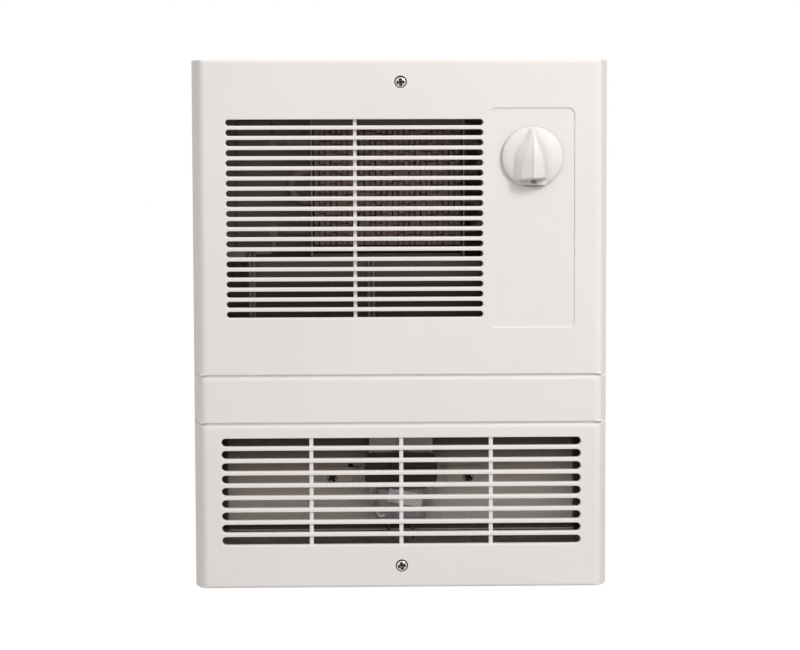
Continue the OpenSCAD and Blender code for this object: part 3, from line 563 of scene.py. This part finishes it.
def slot_loop(x0, x1, z, high, grow, n=10):
    """A slot with round ends, grown by grow below and by a third of it above."""
    r = high / 2 + grow * 0.67
    z -= grow * 0.33
    return arc(x0 + high / 2, z, r, 90, 270, n) + arc(x1 - high / 2, z, r, -90, 90, n)


def cut_slots(b, count, first_z, pitch, x0, x1, high, lip):
    """A column of slots with rounded lips; returns the ids of each slot's front and back edge."""
    turn = [i / LIP_STEPS * pi / 2 for i in range(LIP_STEPS + 1)]
    profile = [(lip + 0.12, FACE)] + [(lip * (1 - sin(a)), FACE + lip * (1 - cos(a))) for a in turn]
    profile.append((0.0, DEEP))
    return [hole(b, [(slot_loop(x0, x1, first_z - pitch * i, high, grow), y) for grow, y in profile])
            for i in range(count)]


def cut_panel(b):
    """The recessed panel's edge; returns its loop on the face and its loop on the floor."""
    x0, z0, x1, z1 = PANEL
    profile = ((0.35, FACE), (0.25, FACE), (0.1, FACE + 0.07), (0.0, FACE + 0.25), (0.0, FACE + 0.65),
               (-0.1, FACE + 0.9), (-0.3, PANEL_Y), (-0.6, PANEL_Y))
    return hole(b, [(rounded(x0 - g, z0 - g, x1 + g, z1 + g, (PANEL_R + g,) * 4, 8), y)
                    for g, y in profile])


def cut_knob_seat(b, panel_floor):
    """The knob's round seat and the hole for its shaft; returns the hole's back edge."""
    seat = hole(b, [(circle(KNOB_X, KNOB_Z, KNOB_SEAT_R + g, 96), y)
                    for g, y in ((0.25, PANEL_Y), (0.12, PANEL_Y), (0.0, PANEL_Y + 0.12),
                                 (0.0, KNOB_SEAT_Y), (-0.2, KNOB_SEAT_Y))])
    shaft = hole(b, [(circle(KNOB_X, KNOB_Z, SHAFT_HOLE_R + g, 24), y)
                     for g, y in ((0.2, KNOB_SEAT_Y), (0.0, KNOB_SEAT_Y + 0.1), (0.0, BACK))])
    b.flat([panel_floor, seat[0]])
    b.flat([seat[1], shaft[0]])
    return shaft[1]


def cut_screw_cup(b, z):
    """A cover screw's dished hole with the boss behind it; returns its loop on the face."""
    sides = 40
    profile = ((0.5, FACE), (0.4, FACE), (0.2, FACE + 0.06), (0.05, FACE + 0.22), (0.0, FACE + 0.7),
               (0.0, CUP_Y - 0.15), (-0.15, CUP_Y), (-0.4, CUP_Y))
    front, floor = hole(b, [(circle(0, z, CUP_R + g, sides), y) for g, y in profile])
    tube = hole(b, [(circle(0, z, SCREW_HOLE_R, sides), y) for y in (CUP_Y, BOSS_Y)])
    b.flat([floor, tube[0]])
    boss = hole(b, [(circle(0, z, BOSS_R, sides), y) for y in (BACK, BOSS_Y)])
    b.flat([boss[1], tube[1]], True)
    return front


def fill_grooves(b):
    """The floor of the two grooves, a strip that follows the sides' profile further in."""
    turn = [soft_edge(i / 8) for i in range(9)]
    half = [(RIM_X - GROOVE_INSET, 0.0)] + [(RIM_X - GROOVE_INSET - x, y + GROOVE_DEEP) for x, y in turn]
    core = [(-x, y) for x, y in half] + half[::-1]
    b.loft([[(x, y, z) for x, y in core] for z in CORE_Z], False)


def line_inside(b, shaft_back, grilles):
    """The rim's inner walls, the inner face and the thicker pads behind the two grilles."""
    profile = ((0, 0, 0.0), (4.8, 0.8, -16.0), (6.2, 1.0, -18.4), (8.0, 1.0, BACK))
    walls = b.loft([at(rounded(-RIM_X + WALL + g, -RIM_Z + WALL + h, RIM_X - WALL - g, TOP_Z - WALL - h,
                               (2, 2, 2, 2), 3), y) for g, h, y in profile])
    rim = b.ring(at(rounded(-RIM_X, -RIM_Z, RIM_X, TOP_Z, RIM_RADII, CORNER_STEPS), 0.0))
    b.flat([rim, walls[0]], True)
    pads = []
    for (x0, z0, x1, z1), slots in zip(PADS, grilles):
        outline = [(x0, z0), (x1, z0), (x1, z1), (x0, z1)]
        foot, top = hole(b, [(outline, BACK), (outline, DEEP)])
        b.flat([top] + [back for front, back in slots], True)
        pads.append(foot)
    b.flat([walls[-1], shaft_back] + pads, True)


def add_rib(b, x, wide, set_back, z0, z1):
    """An upright rib with softened front corners."""
    front, half, root = FACE + set_back, wide / 2, DEEP - 0.02
    nose = [(-half, root), (-half, front + 0.5), (-half + 0.15, front + 0.15), (-half + 0.5, front)]
    nose += [(-px, py) for px, py in reversed(nose)]
    b.loft([[(x + px, py, z) for px, py in nose] for z in (z0, z1)])


def build_cover():
    b = Build()
    upper, lower = cut_slots(b, **UPPER), cut_slots(b, **LOWER)
    panel_top, panel_floor = cut_panel(b)
    shaft_back = cut_knob_seat(b, panel_floor)
    cup_top, cup_bottom = [cut_screw_cup(b, z) for z in (SCREW_Z, -SCREW_Z)]
    openings = ([panel_top, cup_top] + [front for front, back in upper], [],
                [cup_bottom] + [front for front, back in lower])
    for section, loops in zip(SECTIONS, openings):
        b.flat([pillow(b, *section)] + loops)
    fill_grooves(b)
    line_inside(b, shaft_back, (upper, lower))
    for rib in RIBS:
        add_rib(b, *rib)
    return piece("cover_skin", b, "housing", "enamel", angle=35.0, replaces=["front_cover"])


build_cover()


# ---------------------------------------------------------------- knob
KNOB_R, KNOB_BACK_Y = 22.6, -21.6
KNOB_FLAT_Z = 2.0 - KNOB_R          # the skirt is cut off flat here, at its lower edge
SKIRT, DOME = 1.9, 5.0              # height of the skirt's edge and the dome's rise above it
CREST, CREST_Z = 16.8, -1.0         # the ridge's greatest height and its place
KNOB_SIDES = 216
# Distance from the grip's middle line to its foot and to its shoulder: (z, distance).
FOOT = [(-24, 13.8), (-13, 14.2), (-1, 13.9), (6.6, 12.0), (11, 8.8), (14, 6.0), (19.5, 3.0), (24, 1.8)]
SHOULDER = [(-24, 8.8), (-10, 8.5), (-1, 6.7), (6.6, 3.9), (14, 2.3), (19.5, 1.5), (24, 1.0)]
# The hollow underside and the bore, from the skirt inwards: (radius, height).
KNOB_UNDERSIDE = ((22.6, 1.2), (22.5, 0.35), (22.2, 0.05), (20.2, 0.05), (19.9, 3.2), (15.0, 5.2),
                  (7.0, 6.4), (6.4, 0.0), (3.1, 0.0))


def between(knots, z):
    """Reads a value off a list of (place, value), with straight lines in between."""
    for (z0, w0), (z1, w1) in zip(knots, knots[1:]):
        if z <= z1:
            return w0 + (w1 - w0) * max(0.0, (z - z0) / (z1 - z0))
    return knots[-1][1]


def soft_min(p, q, k):
    """The smaller of two values, with a blend of width k where they cross."""
    h = max(0.0, min(1.0, 0.5 + 0.5 * (q - p) / k))
    return q * (1 - h) + p * h - k * h * (1 - h)


def ridge(z):
    """Height of the ridge: a long fall to the pointer's tip and a slight one the other way."""
    up = z - CREST_Z
    return CREST - 9.7 * (up / 21.4) ** 1.9 if up > 0 else CREST - 1.0 * (-up / 13.7) ** 2


def knob_height(x, z):
    """The dome with the pointer grip on it: a ridge, a roof, shoulders and hollow flanks."""
    dome = SKIRT + DOME * max(0.0, 1 - (math.hypot(x, z) / KNOB_R) ** 2.6) ** 0.62
    shoulder, foot = between(SHOULDER, z), between(FOOT, z)
    if x > 0:
        # the right side is narrower and steeper
        shoulder, foot = 0.88 * shoulder, 0.88 * shoulder + 0.4 * (foot - shoulder)
    slope = 0.5 if x < 0 else 0.2
    side = abs(x)
    roof = ridge(z) - slope * min(side, shoulder) + 0.5 * max(0.0, 1 - side / 1.5) ** 1.2
    flank = 1 - max(0.0, (side - shoulder) / (foot - shoulder))
    skirt = 1 - max(0.0, (side - shoulder) / (foot - shoulder + 5.5))
    grip = dome + max(0.0, roof - dome) * (0.9 * max(0.0, flank) + 0.1 * max(0.0, skirt) ** 2)
    # the steep end of the grip and its tip
    end = 16.2 - 5.0 * (-15.2 - z) - 0.5 * max(0.0, x - 1) * max(0.0, (-11 - z) / 4)
    tip = 6.4 + 3.0 * (20.6 - z)
    grip = soft_min(grip, soft_min(end, tip, 0.5), 0.9)
    # the low land below that end, with the round pit in it
    land = 6.2 - 0.1 * (-15.5 - z) - 2.2 * (side / 9.5) ** 4 if z < -14.5 else 0.0
    out = max(dome, grip, land)
    pit = math.hypot((x - 0.6) / 2.1, (z + 17.6) / 2.0)
    return out - (2.4 * (1 - pit ** 4) if pit < 1 else 0.0)


def build_knob():
    b = Build()

    def outline(r):
        return [(x, max(KNOB_FLAT_Z, z)) for x, z in circle(0, 0, r, KNOB_SIDES)]

    def placed(x, z, height):
        return KNOB_X + x, KNOB_BACK_Y - height, KNOB_Z + z

    radii = [0.4 + 21.6 * i / 90 for i in range(91)] + [22.3, 22.5, 22.59]
    rings = [[placed(x, z, knob_height(x, z)) for x, z in outline(r)] for r in radii]
    rings += [[placed(x, z, h) for x, z in outline(r)] for r, h in KNOB_UNDERSIDE]
    ids = b.loft(rings)
    b.fan(placed(0, 0, knob_height(0, 0)), ids[0])
    return piece("knob_skin", b, "knob", "knob_white", angle=75.0, replaces=["thermostat_knob"])


build_knob()


# ---------------------------------------------------------------- cross-headed screws
def head_height(x, z, turn, head_r, head_h):
    """A pan head with a tapered cross recess, turned by an angle."""
    rho = math.hypot(x, z)
    height = head_h * (0.62 + 0.38 * max(0.0, 1 - (rho / head_r) ** 3.2) ** 0.5)
    u = x * cos(turn) + z * sin(turn)
    v = -x * sin(turn) + z * cos(turn)
    half_wide, reach = 0.276 * head_r, 0.8 * head_r
    for along, across in ((u, v), (v, u)):
        if abs(across) < half_wide and abs(along) < reach:
            edge = min(1.0, (half_wide - abs(across)) / (0.069 * head_r))
            end = min(1.0, (reach - abs(along)) / (0.24 * head_r))
            height = min(height, head_h - 1.7 * min(edge, end) - 0.9 * max(0.0, 1 - rho / 1.4))
    return height


def build_pan_screws(name, places, seat_y, head, shank, slot, replaces, finish=None):
    """Screws at (x, z, turn); head is (radius, height) and shank (radius, length), along +Y."""
    b = Build()
    sides, rounds = 64, 30
    (head_r, head_h), (shank_r, length) = head, shank
    body = ((head_r, head_h * 0.5), (head_r, 0.0), (shank_r, 0.0), (shank_r, 0.5 - length),
            (shank_r - 0.5, -length))
    for x0, z0, turn in places:
        rings = []
        for k in range(1, rounds + 1):
            outline = circle(0, 0, head_r * 0.985 * k / rounds, sides)
            rings.append([(x0 + x, seat_y - head_height(x, z, turn, head_r, head_h), z0 + z)
                          for x, z in outline])
        rings += [at(circle(x0, z0, r, sides), seat_y - h) for r, h in body]
        ids = b.loft(rings)
        b.fan((x0, seat_y - head_height(0, 0, turn, head_r, head_h), z0), ids[0])
        b.fan((x0, seat_y + length, z0), ids[-1], True)
    return piece(name, b, "housing", slot, angle=38.0, replaces=replaces, finish=finish)


build_pan_screws("cover_screw_heads", [(0, 180.55, 0.06), (0, -181.0, 0.2)], -20.65, (3.85, 1.8),
                 (2.05, 28.0), "nickel_steel", ["cover_screws"])
build_pan_screws("mount_screw_heads", [(-52, -119, 0.5), (52, -119, 1.1)], 14.5, (3.9, 2.3),
                 (1.85, 7.0), "zinc_steel", ["mount_screws"], finish="dark_screw")


def build_washers():
    b = Build()
    profile = [(2.3, -19.95), (2.3, -20.5), (2.6, -20.65), (4.5, -20.65), (4.52, -20.5), (4.52, -19.95)]
    for z in (SCREW_Z, -SCREW_Z):
        b.loft([at(circle(0, z, r, 48), y) for r, y in profile])
    return piece("washer_rings", b, "housing", "zinc_steel", replaces=["screw_washers"], finish="washer")


build_washers()


# ---------------------------------------------------------------- paper and folded edges
def extent(node):
    """The lowest and the highest corner of a CAD node."""
    return [[c / MM for c in corner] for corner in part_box(node)]


def build_winding_paper():
    """A blank strip of paper on the winding, slightly askew."""
    b = Build()
    middle_x, middle_z, tilt = 3, -131.5, math.radians(-11)
    back_y, front_y = -8.45, -8.62
    outline = [(middle_x + x * cos(tilt) - z * sin(tilt), middle_z + x * sin(tilt) + z * cos(tilt))
               for x, z in rounded(-13, -5, 13, 5, (0.8,) * 4, 3)]
    b.flat([hole(b, [(outline, back_y), (outline, front_y)])[1]])
    return piece("winding_paper", b, "housing", "coil_tape", finish="paper")


def build_deck_hem():
    """The edge of the deck's lower lip is turned down in a narrow roll."""
    b = Build()
    low, high = extent("fan_deck")
    y, z, end = low[Y], low[Z] - 0.02, 6
    thick, fall = 0.8, 2.4
    profile = [(y + thick, z), (y + thick, z - fall + 0.3), (y + thick - 0.2, z - fall),
               (y + 0.2, z - fall), (y, z - fall + 0.3), (y, z)]
    b.rod([[(x, p, q) for p, q in profile] for x in (low[X] + end, 0.0, high[X] - end)])
    return piece("deck_hem", b, "housing", "deck_steel", angle=30.0)


def build_fin_hems():
    """Each fin's front edge is turned over in tabs of slightly unequal width."""
    b = Build()
    low, high = extent("element_fins")
    fins, thick, fold, margin = 27, 0.5, 0.28, 0.4
    pitch = (high[X] - low[X] - thick) / (fins - 1)
    back, front = low[Y], low[Y] - fold
    for i in range(fins - 1):
        x0 = low[X] + i * pitch + thick * 0.4
        z = low[Z] + margin
        while z < high[Z] - 2.5:
            tall = min(random.uniform(4.5, 8.5), high[Z] - margin - z)
            x1 = x0 + random.uniform(0.7, 0.92) * pitch
            tip = front + random.uniform(0.0, 0.5)
            profile = [(x0, back + 0.3), (x0, front + 0.15), (x0 + 0.15, front), (x1 - 0.1, tip),
                       (x1, tip + 0.12), (x1 - 0.1, tip + 0.26), (x0 + thick, back + 0.02),
                       (x0 + thick * 0.9, back + 0.3)]
            b.rod([[(x, y, t) for x, y in profile] for t in (z, z + tall - 0.7)])
            z += tall
    return piece("fin_hems", b, "housing", "fin_steel", angle=30.0)


build_winding_paper()
build_deck_hem()
build_fin_hems()


# ---------------------------------------------------------------- lead wires
def smooth_route(route, bend=4.0, longest=7.0):
    """Rounds each corner of a route and divides the long runs."""
    pts = [Vector(p) for p in route]
    out = [pts[0]]
    for before, corner, after in zip(pts, pts[1:], pts[2:]):
        a, c = before - corner, after - corner
        t = min(bend, 0.46 * a.length, 0.46 * c.length)
        p, q = corner + a.normalized() * t, corner + c.normalized() * t
        out += [p * (1 - k) ** 2 + corner * 2 * k * (1 - k) + q * k * k for k in (0, 0.2, 0.4, 0.6, 0.8, 1)]
    out.append(pts[-1])
    fine = [out[0]]
    for p, q in zip(out, out[1:]):
        n = max(1, int((q - p).length / longest))
        fine += [p.lerp(q, (i + 1) / n) for i in range(n)]
    return fine


def let_sway(path, sway, k):
    """Moves a path slightly off its straight runs, with its ends left in place."""
    far = [0.0]
    for p, q in zip(path, path[1:]):
        far.append(far[-1] + (q - p).length)
    free = 12.0
    for p, s in zip(path, far):
        reach = sway * min(s, far[-1] - s, free) / free
        p.x += reach * sin(s / 31.0 + 2.1 * k)
        p.z += reach * sin(s / 23.0 + 1.3 * k)


def tube_rings(path, r, sides=14):
    """Rings across a path, each turned as little as can be from the one before."""
    side, rings = None, []
    for i, p in enumerate(path):
        t = (path[min(i + 1, len(path) - 1)] - path[max(i - 1, 0)]).normalized()
        if side is None:
            side = t.cross(Vector((0, 1, 0)) if abs(t.y) < 0.9 else Vector((1, 0, 0)))
        side = (side - t * side.dot(t)).normalized()
        other = t.cross(side)
        rings.append([tuple(p + (side * u + other * v) * r) for u, v in circle(0, 0, 1, sides)])
    return rings


def build_leads(name, routes, r, slot, replaces=(), sway=0.0, finish=None):
    b = Build()
    for k, route in enumerate(routes):
        path = smooth_route(route)
        let_sway(path, sway, k)
        b.rod(tube_rings(path, r))
    return piece(name, b, "housing", slot, angle=50.0, replaces=replaces, finish=finish)


LEAD_Y = 14.2    # the sleeved leads run in this plane, in front of the deck
build_leads("sleeved_leads", [
    [(-117, 20, 52), (-113.5, 20, 52), (-113.5, LEAD_Y, 52), (-113.5, LEAD_Y, -30), (110, LEAD_Y, -30),
     (110, LEAD_Y, 84)],
    [(84, LEAD_Y, 84), (84, LEAD_Y, -22), (-19.8, LEAD_Y, -22), (-19.8, LEAD_Y, 49.6), (-19.8, 24, 49.6),
     (-19.8, 24, 39)],
    [(-23.2, 24, 39), (-23.2, 24, 49.6), (-23.2, LEAD_Y, 49.6), (-23.2, LEAD_Y, -14),
     (-110.2, LEAD_Y, -14), (-110.2, LEAD_Y, 52), (-110.2, 30, 52), (-96, 30, 52), (-96, 30, 65.7)]],
    1.3, "glass_sleeve", ["heater_leads"], sway=0.25)
build_leads("return_lead", [[(-96, 30, 140.6), (-96, 30, 152), (-124, 30, 152), (-124, 30, 57)]],
            1.3, "brown_sleeve", ["element_lead"], sway=0.3)
build_leads("motor_wires", [
    [(-9, 8, -150.5), (-9, 8, -162), (-9, 26, -162), (-72, 26, -162), (-72, 26, 30), (-119, 26, 30),
     (-119, 26, 47)],
    [(9, 8, -150.5), (9, 8, -166), (9, 32, -166), (-76, 32, -166), (-76, 32, 24), (-126, 28, 24),
     (-126, 28, 47)]], 1.1, "brown_sleeve", ["motor_leads"], sway=0.3)
build_leads("winding_end", [[(-20, -8, -138.5), (-17.2, -13.5, -143.2), (-15.2, -14, -144.6),
                             (-12.6, -13, -143.4)]], 1.0, "coil_tape", finish="paper")


# ---------------------------------------------------------------- stage, light and camera, in metres
FLOOR_Z, FLOOR_HALF = -0.42, 4
SKY_TINT, SKY_LEVEL = (1.0, 0.985, 0.975, 1.0), 0.69
SKY_SLOPE = (0.0, -0.178, 0.213)             # the sky is a little brighter in front and above
KEY_PLACE, KEY_SIZE, KEY_POWER, KEY_TINT = (0.66, -0.9, 0.79), 0.3, 7.7, (1.0, 0.99, 0.985)
VIEW_AZ, VIEW_EL, VIEW_ROLL = math.radians(-1.491), math.radians(4.493), math.radians(-0.16)
VIEW_FROM, VIEW_AIM = 1.8, (-0.0003, 0, -0.00119)
FOCAL_PX, PHOTO_PX, SENSOR = 2386.0, 800.0, 36.0
WHITE = (1, 1, 1, 1)


def build_floor():
    """A plain pale floor that the camera sees as white, like the background."""
    h = FLOOR_HALF
    me = bpy.data.meshes.new("floor")
    me.from_pydata([(x, z, FLOOR_Z) for x, z in ((-h, -h), (h, -h), (h, h), (-h, h))], [], [(0, 1, 2, 3)])
    floor = bpy.data.objects.new("floor", me)
    bpy.context.scene.collection.objects.link(floor)
    s = Shader("floor_paper")
    s.set(color=(0.5, 0.5, 0.5, 1.0), rough=0.9)
    white = s.add("ShaderNodeEmission")
    white.inputs["Color"].default_value = WHITE
    blend = s.add("ShaderNodeMixShader")
    s.link(s.add("ShaderNodeLightPath").outputs["Is Camera Ray"], blend.inputs["Fac"])
    s.link(s.bsdf.outputs["BSDF"], blend.inputs[1])
    s.link(white.outputs["Emission"], blend.inputs[2])
    s.link(blend.outputs["Shader"], s.nt.nodes["Material Output"].inputs["Surface"])
    me.materials.append(s.mat)


def build_sky():
    """Soft even light from all round; the camera sees plain white."""
    world = bpy.data.worlds.new("studio")
    bpy.context.scene.world = world
    world.use_nodes = True
    nodes, link = world.node_tree.nodes, world.node_tree.links.new
    toward = nodes.new("ShaderNodeTexCoord").outputs["Generated"]
    slope = nodes.new("ShaderNodeVectorMath")
    slope.operation = "DOT_PRODUCT"
    slope.inputs[1].default_value = SKY_SLOPE
    link(toward, slope.inputs[0])
    level = nodes.new("ShaderNodeMath")
    level.inputs[1].default_value = SKY_LEVEL
    link(slope.outputs["Value"], level.inputs[0])
    light = nodes["Background"]
    light.inputs["Color"].default_value = SKY_TINT
    link(level.outputs[0], light.inputs["Strength"])
    seen = nodes.new("ShaderNodeBackground")
    seen.inputs["Color"].default_value = WHITE
    blend = nodes.new("ShaderNodeMixShader")
    link(nodes.new("ShaderNodeLightPath").outputs["Is Camera Ray"], blend.inputs["Fac"])
    link(light.outputs["Background"], blend.inputs[1])
    link(seen.outputs["Background"], blend.inputs[2])
    link(blend.outputs["Shader"], nodes["World Output"].inputs["Surface"])


def build_key_lamp():
    """One soft lamp from above and to the right, aimed at the part's middle."""
    lamp = bpy.data.lights.new("key", "AREA")
    lamp.shape = "RECTANGLE"
    lamp.size = lamp.size_y = KEY_SIZE
    lamp.energy = KEY_POWER
    lamp.color = KEY_TINT
    o = bpy.data.objects.new("key", lamp)
    o.location = KEY_PLACE
    o.rotation_euler = (-Vector(KEY_PLACE)).to_track_quat("-Z", "Y").to_euler()
    bpy.context.scene.collection.objects.link(o)


def build_camera():
    """The photograph's view: a little from above and from the left, with a long lens."""
    toward = Vector((sin(VIEW_AZ) * cos(VIEW_EL), -cos(VIEW_AZ) * cos(VIEW_EL), sin(VIEW_EL)))
    right = (-toward).cross(Vector((0, 0, 1))).normalized()
    up = right.cross(-toward)
    rolled_right = right * cos(VIEW_ROLL) + up * sin(VIEW_ROLL)
    rolled_up = -right * sin(VIEW_ROLL) + up * cos(VIEW_ROLL)
    data = bpy.data.cameras.new("photo_camera")
    data.sensor_fit = "HORIZONTAL"
    data.sensor_width = SENSOR
    data.lens = FOCAL_PX * SENSOR / PHOTO_PX
    cam = bpy.data.objects.new("photo_camera", data)
    turned = Matrix((rolled_right, rolled_up, toward)).transposed().to_4x4()
    cam.matrix_world = Matrix.Translation(toward * VIEW_FROM + Vector(VIEW_AIM)) @ turned
    bpy.context.scene.collection.objects.link(cam)
    bpy.context.scene.camera = cam


build_floor()
build_sky()
build_key_lamp()
build_camera()
bpy.context.scene.view_settings.view_transform = "Standard"
